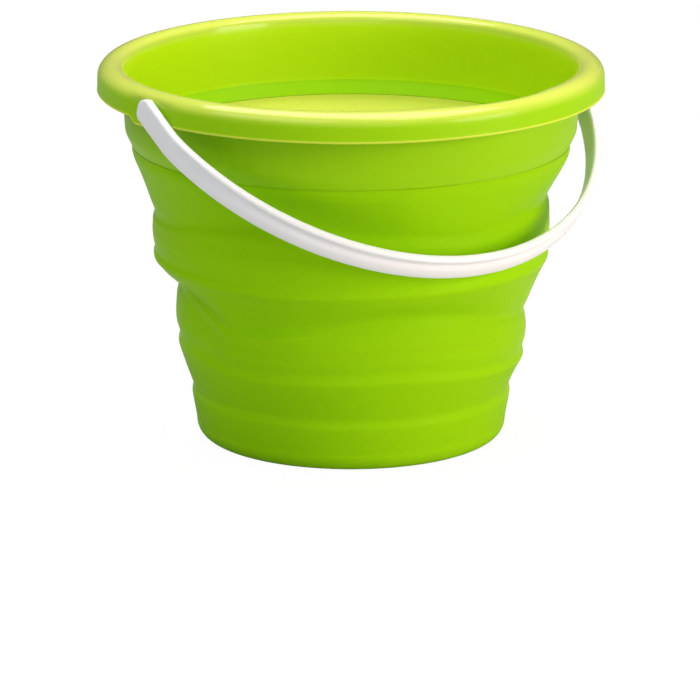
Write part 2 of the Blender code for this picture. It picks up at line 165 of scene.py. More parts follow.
def smoothStep(value, start, end):
    t = min(1.0, max(0.0, (value - start) / (end - start)))
    return t * t * (3 - 2 * t)


def bell(value, middle, spread):
    return math.exp(-((value - middle) / spread) ** 2)


def angleFrom(angle, middle):
    return (angle - middle + 180) % 360 - 180


def azimuthOf(point):
    return math.degrees(math.atan2(point.y, point.x))


# materials

class Wire:
    # a node's output that takes part in sums
    def __init__(self, nodes, socket):
        self.nodes = nodes
        self.socket = socket

    def math(self, operation, first, second):
        return self.nodes.node("ShaderNodeMath", {"operation": operation}, {0: first, 1: second})

    def __add__(self, other):
        return self.math("ADD", self, other)

    def __radd__(self, other):
        return self.math("ADD", other, self)

    def __sub__(self, other):
        return self.math("SUBTRACT", self, other)

    def __rsub__(self, other):
        return self.math("SUBTRACT", other, self)

    def __mul__(self, other):
        return self.math("MULTIPLY", self, other)

    def __rmul__(self, other):
        return self.math("MULTIPLY", other, self)


class Nodes:
    # a node tree, and the way in which every node is added to it
    def __init__(self, tree):
        self.tree = tree

    def node(self, kind, settings=None, inputs=None, out=0):
        made = self.tree.nodes.new(kind)
        for key, value in (settings or {}).items():
            setattr(made, key, value)
        for key, value in (inputs or {}).items():
            self.feed(made.inputs[key], value)
        return Wire(self, made.outputs[out])

    def feed(self, socket, value):
        if isinstance(value, Wire):
            self.tree.links.new(value.socket, socket)
        else:
            socket.default_value = value


class Finish(Nodes):
    # one material
    def __init__(self, name):
        self.material = bpy.data.materials.new(name)
        self.material.use_nodes = True
        super().__init__(self.material.node_tree)
        self.shader = self.tree.nodes["Principled BSDF"]
        self.output = self.tree.nodes["Material Output"]
        self.place = self.node("ShaderNodeTexCoord", out="Object")

    def set(self, **values):
        for key, value in values.items():
            self.feed(self.shader.inputs[key.replace("_", " ")], value)

    def glow(self, share, reach, depth):
        # light that soaks in and comes out again a little further on
        self.set(Subsurface_Weight=share, Subsurface_Radius=reach, Subsurface_Scale=depth)

    def noise(self, scale, detail=2.0, roughness=0.5, stretch=None):
        place = self.place
        if stretch:
            place = self.node("ShaderNodeMapping", None, {"Vector": place, "Scale": stretch})
        inputs = {"Vector": place, "Scale": scale, "Detail": detail, "Roughness": roughness}
        return self.node("ShaderNodeTexNoise", None, inputs)

    def mixColour(self, factor, first, second):
        inputs = {"Factor": factor, 6: first, 7: second}
        return self.node("ShaderNodeMix", {"data_type": "RGBA"}, inputs, out=2)

    def bump(self, height, distance, strength=1.0, over=None):
        inputs = {"Height": height, "Distance": distance, "Strength": strength}
        if over:
            inputs["Normal"] = over
        return self.node("ShaderNodeBump", None, inputs)


softLook = {
    # the two inside colours are a painted sheen: the inner face of the soft wall is painted paler and
    # yellower than the outer face, standing in for light caught inside the mouth; the rubber is one colour
    # through
    "insidePaintedLight": (0.720, 0.810, 0.130, 1),
    "insideSheenDeep": (0.690, 0.790, 0.115, 1),
    "green": (0.305, 0.620, 0.004, 1),
    "deepGreen": (0.275, 0.590, 0.003, 1),
    "roughness": 0.38,
    "ior": 1.09,
    "shineTint": (1.0, 0.90, 0.50, 1),
    "glow": (0.20, (0.55, 1.0, 0.08), 0.006),
}
rimLook = {
    # the rim is one moulding of one colour, painted in two tones by height: above the band in collarTop it
    # takes green and deepGreen, paler and whiter, a painted sheen on the lip top; below it the collar
    # colour, a deeper green, is painted shade on the collar and skirt
    "green": (0.545, 0.640, 0.090, 1),
    "deepGreen": (0.520, 0.620, 0.080, 1),
    # the edge colour is a painted highlight: paler green along the bead at the skirt's lower edge, where
    # it catches light from the floor
    "edgeHighlightGreen": (0.560, 0.700, 0.060, 1),
    "collarPaintedLight": (0.305, 0.605, 0.003, 1),
    # the inside colour is painted shade: a deeper green for the inner collar below the lip, where it lies
    # in shade under the lip
    "insidePaintedLight": (0.430, 0.690, 0.004, 1),
    "collarTop": (0.2335, 0.2415),
    "roughness": 0.21,
    "collarRoughness": 0.42,
    "coat": 0.68,
    "coatRoughness": 0.08,
    "shineLevel": 0.10,
    "shineTint": (1.0, 0.92, 0.85, 1),
    "glow": (0.20, (0.55, 1.0, 0.08), 0.006),
}
floorLook = {
    "roughness": 0.30,
    "glow": (0.12, (0.55, 1.0, 0.08), 0.004),
}
handleLook = {
    "white": (0.850, 0.875, 0.925, 1),
    "shade": (0.820, 0.845, 0.895, 1),
    "roughness": 0.30,
    "glow": (0.08, (1.0, 0.9, 0.8), 0.002),
}


def softRubber(name, green, deepGreen):
    finish = Finish(name)
    cloud = finish.noise(14.0, detail=3.0)
    streaks = finish.noise(9.0, detail=3.0, stretch=(1.0, 1.0, 22.0))
    grain = finish.noise(1400.0, detail=2.0)
    bloom = finish.noise(60.0, detail=4.0, roughness=0.6)
    tint = cloud * 0.6 + streaks * 0.4
    finish.set(
        Base_Color=finish.mixColour(tint, green, deepGreen),
        Roughness=softLook["roughness"] + (bloom - 0.5) * 0.14,
        IOR=softLook["ior"],
        Specular_Tint=softLook["shineTint"],
    )
    finish.glow(*softLook["glow"])
    soft = finish.bump(streaks, 0.0006, 0.35)
    finish.set(Normal=finish.bump(grain, 0.00006, 0.5, over=soft))
    return finish.material


def glossyRim(name, collarPaintedLight):
    finish = Finish(name)
    cloud = finish.noise(10.0, detail=2.0)
    wave = finish.noise(26.0, detail=1.0)
    grain = finish.noise(1800.0, detail=1.0)
    # lip runs from 0 below the band in collarTop to 1 above it; the base colour follows it from the colour
    # passed in (painted shade on the collar and inside, a painted highlight on the edge bead) to the paler
    # lip colour, a painted sheen; the coat and the lower roughness follow the same mask
    low, high = rimLook["collarTop"]
    height = finish.node("ShaderNodeSeparateXYZ", None, {"Vector": finish.place}, out="Z")
    limits = {"Value": height, 1: low, 2: high}
    lip = finish.node("ShaderNodeMapRange", {"interpolation_type": "SMOOTHSTEP"}, limits)
    # thick is the lip colour, painted paler as a painted sheen on the lip top, with random patches of a
    # deeper tone
    thick = finish.mixColour(cloud, rimLook["green"], rimLook["deepGreen"])
    matt = (1 - lip) * (rimLook["collarRoughness"] - rimLook["roughness"])
    finish.set(
        Base_Color=finish.mixColour(lip, collarPaintedLight, thick),
        Roughness=rimLook["roughness"] + matt + (cloud - 0.5) * 0.06,
        Specular_IOR_Level=rimLook["shineLevel"],
        Specular_Tint=rimLook["shineTint"],
        Coat_Weight=lip * rimLook["coat"],
        Coat_Roughness=rimLook["coatRoughness"],
    )
    finish.glow(*rimLook["glow"])
    soft = finish.bump(wave, 0.0004, 0.25)
    finish.set(Normal=finish.bump(grain, 0.00002, 0.3, over=soft))
    return finish.material


def satinFloor():
    finish = Finish("satinFloor")
    cloud = finish.noise(12.0, detail=3.0)
    scuffs = finish.noise(60.0, detail=3.0)
    grain = finish.noise(1500.0, detail=2.0)
    finish.set(
        Base_Color=finish.mixColour(cloud, rimLook["green"], rimLook["deepGreen"]),
        Roughness=floorLook["roughness"] + (scuffs - 0.5) * 0.16,
    )
    finish.glow(*floorLook["glow"])
    finish.set(Normal=finish.bump(grain, 0.00002, 0.2))
    return finish.material


def satinWhite():
    finish = Finish("satinWhite")
    cloud = finish.noise(20.0, detail=3.0)
    grain = finish.noise(1600.0, detail=2.0)
    handling = finish.noise(90.0, detail=4.0)
    finish.set(
        Base_Color=finish.mixColour(cloud, handleLook["white"], handleLook["shade"]),
        Roughness=handleLook["roughness"] + (handling - 0.5) * 0.12,
    )
    finish.glow(*handleLook["glow"])
    finish.set(Normal=finish.bump(grain, 0.00003, 0.4))
    return finish.material


softGreen = softRubber("softRubber", softLook["green"], softLook["deepGreen"])
# the second soft material, for the inner face of the wall, carries the painted sheen
softInsideSheen = softRubber("softRubberInsideSheen", softLook["insidePaintedLight"], softLook["insideSheenDeep"])
rimGreen = glossyRim("glossyRim", rimLook["collarPaintedLight"])
rimInsideShade = glossyRim("glossyRimInsideShade", rimLook["insidePaintedLight"])
rimEdgeHighlight = glossyRim("glossyRimEdgeHighlight", rimLook["edgeHighlightGreen"])
floorGreen = satinFloor()
handleWhite = satinWhite()


def dress(piece, slotName, *materials):
    piece.data.materials.clear()
    for material in materials:
        piece.data.materials.append(material)


print("materials made")


# the soft wall: one skin for each fold, parted in the middle of the standing bands

wall = {
    "sides": 144,
    "thickness": 0.0022,
    "footRadius": 0.0885,
    "cornerRadius": 0.010,
    "cornerRows": 7,
    "rowStep": 0.0015,
    # height, radius and half the length of its rounding, from the base up:
    # each zone ends in a small ledge that faces up
    "creases": [
        (0.0100, 0.0982, 0.0010),
        (0.0290, 0.1016, 0.0014),
        (0.0336, 0.1003, 0.0016),
        (0.0560, 0.1092, 0.0020),
        (0.0588, 0.1102, 0.0014),
        (0.0640, 0.1087, 0.0020),
        (0.0715, 0.1112, 0.0020),
        (0.0780, 0.1116, 0.0030),
        (0.0885, 0.1107, 0.0025),
        (0.0930, 0.1091, 0.0022),
        (0.1190, 0.1258, 0.0016),
        (0.1240, 0.1243, 0.0020),
        (0.1330, 0.1262, 0.0060),
        (0.1500, 0.1257, 0.0016),
        (0.1550, 0.1237, 0.0026),
        (0.1828, 0.1374, 0.0014),
        (0.1868, 0.1386, 0.0014),
        (0.19048, 0.1385, 0.0008),
    ],
    "splits": (0.0780, 0.1400),
    "ridgeFade": (14, 18),  # degrees in which a ridge rises at its start and dies away at its end
}
# how far each crease rises and falls on its way round: its height, its reach up and down,
# then degrees round from the camera's right and the rise in mm
creaseCourse = [
    (0.0650, 0.016, [
        (-172, 4), (-149, 4.5), (-134, -1), (-120, -1), (-100, 0.5), (-78, 2.3), (-56, -0.5),
        (-34, -4.5), (0, -6), (60, 0), (130, 2),
    ]),
    (0.0930, 0.014, [
        (-175, 6.5), (-157, 10), (-134, -5.5), (-127, -5), (-107, 2), (-75, 7.5), (-57, 6),
        (-32, -2.5), (-5, -10), (40, -6), (90, 0), (150, 4),
    ]),
    (0.1550, 0.016, [
        (-172, -8), (-155, -6), (-140, 0.5), (-126, 3.7), (-117, 4.5), (-100, 4), (-76, 2.5),
        (-56, -2), (-42, 0), (-33, 4), (0, 2.5), (60, 0), (120, -4),
    ]),
]

# flattened places: degrees round from the camera's right, half the width in degrees, height,
# half the height, depth
wallFlats = [
    (-147, 13, 0.0840, 0.016, 0.0032),
    (-124, 9, 0.1030, 0.011, 0.0016),
    (-105, 30, 0.1720, 0.018, 0.0034),
    (-50, 25, 0.1740, 0.016, 0.0018),
    (-48, 12, 0.0860, 0.012, 0.0008),
]

# ridges that run along the wall: how far they stand out, half their height,
# then degrees round from the camera's right and the height in mm
wallRidges = [
    (0.0016, 0.0032, [
        (-172, 111), (-156, 101), (-150, 96), (-144, 91.5), (-138, 87), (-133, 84), (-120, 85.5),
        (-95, 91.5),
    ]),
    (0.0007, 0.0024, [(-178, 119), (-150, 118), (-120, 117.5), (-90, 117.5)]),
]


def wallRadius(height):
    points = wall["creases"]
    for (z0, r0, _), (z1, r1, _) in zip(points, points[1:]):
        if height <= z1 or z1 == points[-1][0]:
            radius = r0 + (r1 - r0) * (height - z0) / (z1 - z0)
            break
    for i in range(1, len(points) - 1):
        (z0, r0, _), (z1, r1, reach), (z2, r2, _) = points[i - 1:i + 2]
        away = abs(height - z1)
        if away < reach:
            bend = (r2 - r1) / (z2 - z1) - (r1 - r0) / (z1 - z0)
            radius += bend * (reach - away) ** 2 / (4 * reach)
    return radius


def wallRows(low, high):
    rows = []
    if low <= 0:
        centreRadius, corner = wall["footRadius"], wall["cornerRadius"]
        for i in range(wall["cornerRows"] + 1):
            turn = deg(90) * i / wall["cornerRows"]
            rows.append((centreRadius + corner * math.sin(turn), corner - corner * math.cos(turn)))
        low = corner
    steps = max(1, round((high - low) / wall["rowStep"]))
    for i in range(steps + 1):
        height = low + (high - low) * i / steps
        if rows and height <= rows[-1][1]:
            continue
        rows.append((wallRadius(height), height))
    return rows


def riseAt(course, azimuth):
    # straight from point to point round the wall, and back to the first
    closed = course + [(course[0][0] + 360, course[0][1])]
    for (a0, rise0), (a1, rise1) in zip(closed, closed[1:]):
        along = (azimuth - a0) % 360
        if along < a1 - a0:
            return (rise0 + (rise1 - rise0) * along / (a1 - a0)) * mm
    return 0.0


def ridgePush(azimuth, height):
    # highest in the middle of its run, and nothing at both ends
    push = 0.0
    fadeIn, fadeOut = wall["ridgeFade"]
    for out, upDown, run in wallRidges:
        length = run[-1][0] - run[0][0]
        along = (azimuth - run[0][0]) % 360
        if along < length:
            ends = smoothStep(along, 0, fadeIn) * (1 - smoothStep(along, length - fadeOut, length))
            push += out * ends * bell(height, riseAt(run, azimuth), upDown)
    return push


def sagWall(piece):
    for vertex in piece.data.vertices:
        point = vertex.co
        azimuth, height = azimuthOf(point) - studio["azimuth"], point.z
        rise = 0.0
        for creaseHeight, reach, course in creaseCourse:
            ease = sum(riseAt(course, azimuth + turn) for turn in (-3, 0, 3)) / 3
            rise += bell(height, creaseHeight, reach) * ease
        push = 0.0
        for middle, half, atHeight, upDown, depth in wallFlats:
            across = angleFrom(azimuth, middle) / half
            push -= depth * max(0.0, 1 - across ** 2) * bell(height, atHeight, upDown)
        push += ridgePush(azimuth, height + rise)
        radius = math.hypot(point.x, point.y)
        scale = (radius + push) / radius
        vertex.co = (point.x * scale, point.y * scale, height + rise)


def foldSkin(name, low, high):
    piece = turnedRows(name, wallRows(low, high), wall["sides"])
    turnOpenShellOut(piece)
    sagWall(piece)
    applyModifier(piece, "SUBSURF", levels=1, render_levels=1)
    # the inner face made by the solidify takes the second material, with its painted sheen
    dress(piece, "soft_wall", softGreen, softInsideSheen)
    applyModifier(
        piece, "SOLIDIFY", thickness=wall["thickness"], offset=-1, use_even_offset=True, material_offset=1
    )
    weldAndTurnOut(piece)
    shadeSmooth(piece, 50)
    return piece


lowSplit, highSplit = wall["splits"]
cuffTop = wall["creases"][-1][0]
lowerSkin = foldSkin("lowerFoldSkin", 0.0, lowSplit)
middleSkin = foldSkin("middleFoldSkin", lowSplit, highSplit)
upperSkin = foldSkin("upperFoldSkin", highSplit, cuffTop)
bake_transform(lowerSkin)
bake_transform(middleSkin)
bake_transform(upperSkin)
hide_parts("base_cup", "lower_web", "lower_ring")
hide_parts("middle_web", "upper_ring")
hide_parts("upper_web", "soft_cuff")
print("soft wall made")


# the rim: collar, lip, skirt, spout, pivot pads and hang tab in one moulding

rim = {
    "sides": 180,
    "top": 0.2430,
    "wall": 0.0025,
    "collarLow": 0.1905,
    "collarCorner": 0.1995,
    "cornerReach": 0.0012,
    "cornerLean": 0.0006,
    "cuffRadius": 0.1383,
    "collarRadius": 0.1430,
    "collarLean": [(0.0004, 0.2130), (0.0009, 0.2260), (0.0014, 0.2325)],  # out from straight, height
    "ridgeRadius": 0.1500,
    "skirtRadius": 0.1600,
    "skirtLow": 0.2245,
    "lipDrop": 0.0090,
    "lipTail": 0.0045,
    "innerDrop": 0.0026,
    "innerEdge": 0.1435,
    "spoutAzimuth": -90,
    "spoutHalf": 17,
    "spoutReach": 0.0045,
    "spoutDip": 0.0004,
    "spoutHeight": 0.038,
    "padAt": 0.1577,
    "padFade": 0.008,
    "padDrop": 0.0045,
    "padHalf": 0.016,
    "padShoulder": 0.007,
    "edgeRound": 0.0006,
    "seamRound": 0.00010,
    "seamIn": 0.1363,
    "beadOut": 0.0003,
    "beadHeight": 0.0022,
}


def quarterLip(radius, height, run, rise, steps):
    return [
        (radius + run * math.sin(deg(90) * i / steps), height + rise * math.cos(deg(90) * i / steps))
        for i in range(steps + 1)
    ]


def rimRows():
    top, thick = rim["top"], rim["wall"]
    edgeZ = top - rim["lipDrop"]
    innerZ = top - rim["innerDrop"]
    ridge = rim["ridgeRadius"]
    run = rim["skirtRadius"] - ridge
    collarOut = rim["collarRadius"]
    collarIn = collarOut - thick
    corner, reach, lean = rim["collarCorner"], rim["cornerReach"], rim["cornerLean"]
    skirt, skirtLow, tail = rim["skirtRadius"], rim["skirtLow"], edgeZ - rim["lipTail"]
    soft, seam = rim["edgeRound"], rim["seamRound"]
    rows = [
        (rim["seamIn"] + seam, rim["collarLow"]),
        (rim["seamIn"], rim["collarLow"] + seam),
        (collarIn - lean, corner - reach),
        (collarIn, corner + reach),
    ]
    rows += [(collarIn + out, height) for out, height in rim["collarLean"]]
    rows += [
        (rim["innerEdge"] - 0.0006, innerZ - 0.0026),
        (rim["innerEdge"] + 0.0003, innerZ + 0.0002),
        (rim["innerEdge"] + 0.0018, top - 0.0014),
        (rim["innerEdge"] + 0.0038, top - 0.0005),
    ]
    rows += quarterLip(ridge, edgeZ, run, rim["lipDrop"], 8)
    rows += [
        (skirt, tail),
        (skirt, skirtLow + rim["beadHeight"]),
        (skirt + rim["beadOut"], skirtLow + 2 * soft),
        (skirt + rim["beadOut"], skirtLow + soft),
        (skirt - soft, skirtLow),
        (skirt - thick + soft, skirtLow),
        (skirt - thick, skirtLow + soft),
        (skirt - thick, tail),
    ]
    rows += reversed(quarterLip(ridge, edgeZ, run - thick, rim["lipDrop"] - thick, 5))
    rows += [
        (rim["innerEdge"] + thick, innerZ - thick),
        (collarOut + 0.0012, 0.2310),
        (collarOut + 0.0004, 0.2130),
        (collarOut, corner + reach),
        (collarOut - lean, corner - reach),
        (rim["cuffRadius"] + seam, rim["collarLow"] + seam),
        (rim["cuffRadius"] - seam, rim["collarLow"]),
    ]
    return rows + rows[:1]


def spoutShare(point):
    # 1 in the middle of the spout at the lip, and 0 beside and below it
    away = abs(angleFrom(azimuthOf(point), rim["spoutAzimuth"]))
    across = math.cos(deg(90) * min(1, away / rim["spoutHalf"]))
    return across * smoothStep(point.z, rim["top"] - rim["spoutHeight"], rim["top"] - rim["lipDrop"])


def shapeSpout(piece):
    collar, ridge = rim["collarRadius"], rim["ridgeRadius"]
    for vertex in piece.data.vertices:
        point, share = vertex.co, spoutShare(vertex.co)
        radius = math.hypot(point.x, point.y)
        lip = 1 - smoothStep(radius, ridge, rim["skirtRadius"])
        inner = 1 - min(1, max(0, (radius - collar) / (ridge - collar)))
        push = rim["spoutReach"] * (0.4 * lip + 0.6 * inner)
        scale = (radius + push * share) / radius
        vertex.co = (point.x * scale, point.y * scale, point.z - rim["spoutDip"] * share * lip)


def shapePads(piece):
    # the skirt is flat at the pivots and hangs lower there
    edgeZ = rim["top"] - rim["lipDrop"]
    for vertex in piece.data.vertices:
        point = vertex.co
        radius = math.hypot(point.x, point.y)
        if radius > rim["ridgeRadius"]:
            beyond = max(0.0, rim["skirtRadius"] * abs(point.x) / radius - rim["padAt"])
            share = 1 - smoothStep(point.z, edgeZ, edgeZ + rim["padFade"])
            vertex.co.x -= math.copysign(beyond * share, point.x)
            if point.z < rim["skirtLow"] + rim["beadHeight"] + 0.0004:
                near = 1 - smoothStep(abs(point.y), rim["padHalf"], rim["padHalf"] + rim["padShoulder"])
                vertex.co.z -= rim["padDrop"] * near


tab = {
    "halfWidth": 0.0135,
    "root": 0.1580,
    "reach": 0.1835,
    "low": 0.22392,
    "thickness": 0.0035,
    "holeRadius": 0.004,
    "holeAt": 0.1765,
    "edgeRound": 0.0007,
}
pivot = {
    "height": 0.231,
    "holeRadius": 0.0033,
    "bossHalf": 0.008,
    "bossThickness": 0.0035,
    "bossRise": 0.004,
    "bossRound": 0.0008,
}
padIn = rim["padAt"] - rim["wall"]


def cutBar(name, radius, length, location, alongX):
    deselectAll()
    turn = (0, deg(90), 0) if alongX else (0, 0, 0)
    bpy.ops.mesh.primitive_cylinder_add(
        vertices=40, radius=radius, depth=length, location=location, rotation=turn
    )
    return nameNew(name)


def cutWith(piece, cutter, operation):
    applyModifier(piece, "BOOLEAN", operation=operation, object=cutter, solver="EXACT")
    bpy.data.objects.remove(cutter)


def hangTab():
    middle = tab["reach"] - tab["halfWidth"]
    deselectAll()
    height = tab["low"] + tab["thickness"] / 2
    bpy.ops.mesh.primitive_cylinder_add(
        vertices=48, radius=tab["halfWidth"], depth=tab["thickness"], location=(0, middle, height)
    )
    piece = nameNew("hangTab")
    placeInMesh(piece)
    for vertex in piece.data.vertices:
        if vertex.co.y < middle + 0.0001:
            vertex.co.y = tab["root"]
            vertex.co.x = math.copysign(tab["halfWidth"], vertex.co.x)
    weldAndTurnOut(piece, 0.0001)
    hole = cutBar("tabHole", tab["holeRadius"], 0.02, (0, tab["holeAt"], tab["low"]), False)
    cutWith(piece, hole, "DIFFERENCE")
    bevelEdges(piece, tab["edgeRound"], 3, 50)
    return piece


def pivotBoss(side):
    inner, outer = padIn - pivot["bossThickness"], padIn + rim["wall"] * 0.4
    low, high = rim["skirtLow"] - rim["padDrop"] / 2, pivot["height"] + pivot["bossRise"]
    deselectAll()
    bpy.ops.mesh.primitive_cube_add(size=1, location=(side * (inner + outer) / 2, 0, (low + high) / 2))
    boss = nameNew("pivotBoss")
    boss.scale = (outer - inner, 2 * pivot["bossHalf"], high - low)
    placeInMesh(boss)
    applyModifier(boss, "BEVEL", width=pivot["bossRound"], segments=2)
    return boss


def pickRimMaterials(piece):
    insideRadius = rim["collarRadius"] - 0.0003
    beadIn, beadOut = rim["padAt"] - 0.0015, rim["skirtRadius"] + rim["beadOut"]
    for face in piece.data.polygons:
        centre = face.center
        radius = math.hypot(centre.x, centre.y)
        inward = face.normal.x * centre.x + face.normal.y * centre.y < 0
        overMouth = radius < insideRadius + rim["spoutReach"] * spoutShare(centre)
        near = 1 - smoothStep(abs(centre.y), rim["padHalf"], rim["padHalf"] + rim["padShoulder"])
        beadTop = rim["skirtLow"] + rim["beadHeight"] * 0.8 - rim["padDrop"] * near
        # material 1 paints shade on the inner collar below the lip
        if inward and centre.z > rim["collarCorner"] and overMouth:
            face.material_index = 1  # the side that looks in over the mouth
        # material 2 paints a highlight along the skirt's lower bead
        elif not inward and centre.z < beadTop and beadIn < radius < beadOut:
            face.material_index = 2  # the bead along the skirt's lower edge


rimPiece = turnedRows("rimMoulding", rimRows(), rim["sides"])
weldAndTurnOut(rimPiece)
applyModifier(rimPiece, "SUBSURF", levels=1, render_levels=1)
shapeSpout(rimPiece)
shapePads(rimPiece)
for side in (-1, 1):
    cutWith(rimPiece, pivotBoss(side), "UNION")
    holePlace = (side * (padIn - 0.001), 0, pivot["height"])
    cutWith(rimPiece, cutBar("pivotHole", pivot["holeRadius"], 0.012, holePlace, True), "DIFFERENCE")
cutWith(rimPiece, hangTab(), "UNION")
shadeSmooth(rimPiece, 38)
dress(rimPiece, "rigid_rim", rimGreen, rimInsideShade, rimEdgeHighlight)
pickRimMaterials(rimPiece)
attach(rimPiece, "rim")
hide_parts("rim_frame")
print("rim made", len(rimPiece.data.polygons))


# the base plate, with the finger-grip dome pressed up into it

plate = {
    "sides": 144,
    "radius": 0.08695,
    "thickness": 0.0025,
    "rings": 30,
    "gripHalfWidth": 0.032,
    "gripHalfDepth": 0.019,
    "gripHeight": 0.022,
    "gripAt": 0.06595,
    "gripOval": 2.3,  # 2 is a true ellipse in plan, and more is squarer
    "gripCrown": (2.6, 0.55),  # powers that give the flat crown and the steep sides
    "edgeRound": 0.0005,
}


def domeHeight(x, y):
    # a steep-sided dome, fuller than a plain ellipsoid
    across = abs(x) / plate["gripHalfWidth"]
    along = abs(y - plate["gripAt"]) / plate["gripHalfDepth"]
    oval = plate["gripOval"]
    crown, side = plate["gripCrown"]
    away = (across ** oval + along ** oval) ** (1 / oval)
    if away >= 1:
        return 0.0
    return (plate["gripHeight"] - plate["thickness"]) * (1 - away ** crown) ** side


def basePlate():
    rings = plate["rings"]
    rows = [(plate["radius"] * (1 - i / rings), plate["thickness"]) for i in range(rings)]
    piece = turnedRows("basePlateMoulding", rows, plate["sides"])
    workOn(piece)
    bpy.ops.object.mode_set(mode="EDIT")
    bpy.ops.mesh.extrude_region_move(TRANSFORM_OT_translate={"value": (0, 0, 0)})
    bpy.ops.mesh.merge(type="CENTER")
    bpy.ops.object.mode_set(mode="OBJECT")
    applyModifier(piece, "SUBSURF", levels=1, render_levels=1, subdivision_type="SIMPLE")
    for vertex in piece.data.vertices:
        vertex.co.z += domeHeight(vertex.co.x, vertex.co.y)
    weldAndTurnOut(piece)
    if sum(f.normal.z for f in piece.data.polygons) < 0:
        flipNormals(piece)
    applyModifier(piece, "SMOOTH", factor=0.5, iterations=2)
    applyModifier(piece, "SOLIDIFY", thickness=plate["thickness"], offset=-1, use_even_offset=False)
    weldAndTurnOut(piece)
    bevelEdges(piece, plate["edgeRound"], 2, 60)
    shadeSmooth(piece, 40)
    dress(piece, "rigid_base", floorGreen)
    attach(piece, "base")
    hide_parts("base_plate")
    return piece


plateMoulding = basePlate()
print("base plate made", len(plateMoulding.data.polygons))


# the bail handle: a flat bar spun half round, with round ends and its pins

handle = {
    "sideGap": 0.0006,
    "hoopGap": 0.0009,
    "bow": 0.0030,
    "thickness": 0.0055,
    "width": 0.018,
    "hang": 34.2,
    "steps": 90,
    "endRings": 5,
    "endRound": 0.0022,
    "grooveStart": 0.030,
    "grooveRunIn": 0.016,
    "shankRadius": 0.0030,
    "headRadius": 0.0040,
    "headThickness": 0.002,
    "headRound": 0.0005,
    "shoulderRadius": 0.0060,
    "gap": 0.0003,
}
# the bar's section in mm: place across its width, rounding of the outer side there, and
# depth of the groove
barSection = [
    (-9.0, 3.2, 0.0), (-8.7, 2.2, 0.0), (-8.0, 1.35, 0.0), (-6.8, 0.7, 0.0), (-5.2, 0.3, 0.0),
    (-3.4, 0.08, 0.0), (-1.6, 0.0, 0.0), (-0.2, 0.0, 0.1), (1.0, 0.0, 0.6), (2.1, 0.0, 1.25),
    (3.1, 0.0, 1.6), (4.1, 0.0, 1.5), (5.1, 0.0, 1.0), (6.0, 0.0, 0.4), (6.9, 0.1, 0.05),
    (7.8, 0.4, 0.0), (8.5, 1.0, 0.0), (8.9, 1.8, 0.0), (9.0, 2.8, 0.0),
]


def hoopRadius(angle):
    # straight along the pads, then bowed out clear of the skirt
    bowed = rim["skirtRadius"] + handle["hoopGap"] + handle["bow"] * math.sin(angle) ** 2
    straight = (rim["padAt"] + handle["sideGap"]) / max(0.01, abs(math.cos(angle)))
    return min(bowed, straight)


def barBlank():
    # the section spun half round, from +X through -Y to -X, and drawn out at both ends
    outer = [(handle["thickness"] - edge * mm, across * mm) for across, edge, _ in barSection]
    inner = [(edge * mm * 0.6, across * mm) for across, edge, _ in reversed(barSection)]
    outline = outer + inner
    deselectAll()
    bpy.ops.mesh.primitive_circle_add(vertices=len(outline), radius=0.01)
    piece = nameNew("bailHandleMoulding")
    for vertex, (depth, across) in zip(piece.data.vertices, outline):
        vertex.co = (hoopRadius(0) + depth, 0, across)
    workOn(piece)
    bpy.ops.object.mode_set(mode="EDIT")
    bpy.ops.mesh.select_all(action="SELECT")
    bpy.ops.mesh.spin(steps=handle["steps"], angle=deg(180), center=(0, 0, 0), axis=(0, 0, 1), dupli=False)
    bpy.ops.object.mode_set(mode="OBJECT")
    if min(vertex.co.y for vertex in piece.data.vertices) > -0.1:
        raise RuntimeError("the handle was spun the wrong way round")
    for side in (-1, 1):
        selectVertices(piece, lambda co: co.y > -0.00001 and co.x * side > 0)
        bpy.ops.object.mode_set(mode="EDIT")
        for _ in range(handle["endRings"]):
            step = handle["width"] / 2 / handle["endRings"]
            bpy.ops.mesh.extrude_region_move(TRANSFORM_OT_translate={"value": (0, step, 0)})
        bpy.ops.mesh.edge_face_add()
        bpy.ops.object.mode_set(mode="OBJECT")
    weldAndTurnOut(piece)
    return piece


def grooveDepth(across):
    for (a0, _, d0), (a1, _, d1) in zip(barSection, barSection[1:]):
        if a0 * mm <= across <= a1 * mm:
            return (d0 + (d1 - d0) * (across / mm - a0) / (a1 - a0)) * mm
    return 0.0


def carveBar(piece):
    # the groove runs out towards the ends, and the ends are half-round with soft edges
    half = handle["width"] / 2
    middle = hoopRadius(0) + handle["thickness"] / 2
    start = handle["grooveStart"]
    for vertex in piece.data.vertices:
        point = vertex.co
        if point.y > 0:
            share = point.y / half
            reach = math.sqrt(max(0.0, half * half - point.z * point.z))
            thin = handle["endRound"] * (1 - math.sqrt(max(0.0, 1 - share * share)))
            depth = abs(point.x) - middle
            limit = handle["thickness"] / 2 - thin
            depth = max(-limit, min(limit, depth))
            vertex.co = (math.copysign(middle + depth, point.x), share * reach, point.z)
            continue
        radius = math.hypot(point.x, point.y)
        along = math.atan2(-point.y, abs(point.x))
        run = smoothStep(along * middle, start, start + handle["grooveRunIn"])
        grown = radius + hoopRadius(along) - hoopRadius(0)
        if radius > middle:
            grown -= grooveDepth(point.z) * run
        scale = grown / radius
        vertex.co = (point.x * scale, point.y * scale, point.z)


def pinBar(name, radius, start, end, side):
    bar = cutBar(name, radius, abs(end - start), (side * (start + end) / 2, 0, 0), True)
    placeInMesh(bar)
    return bar


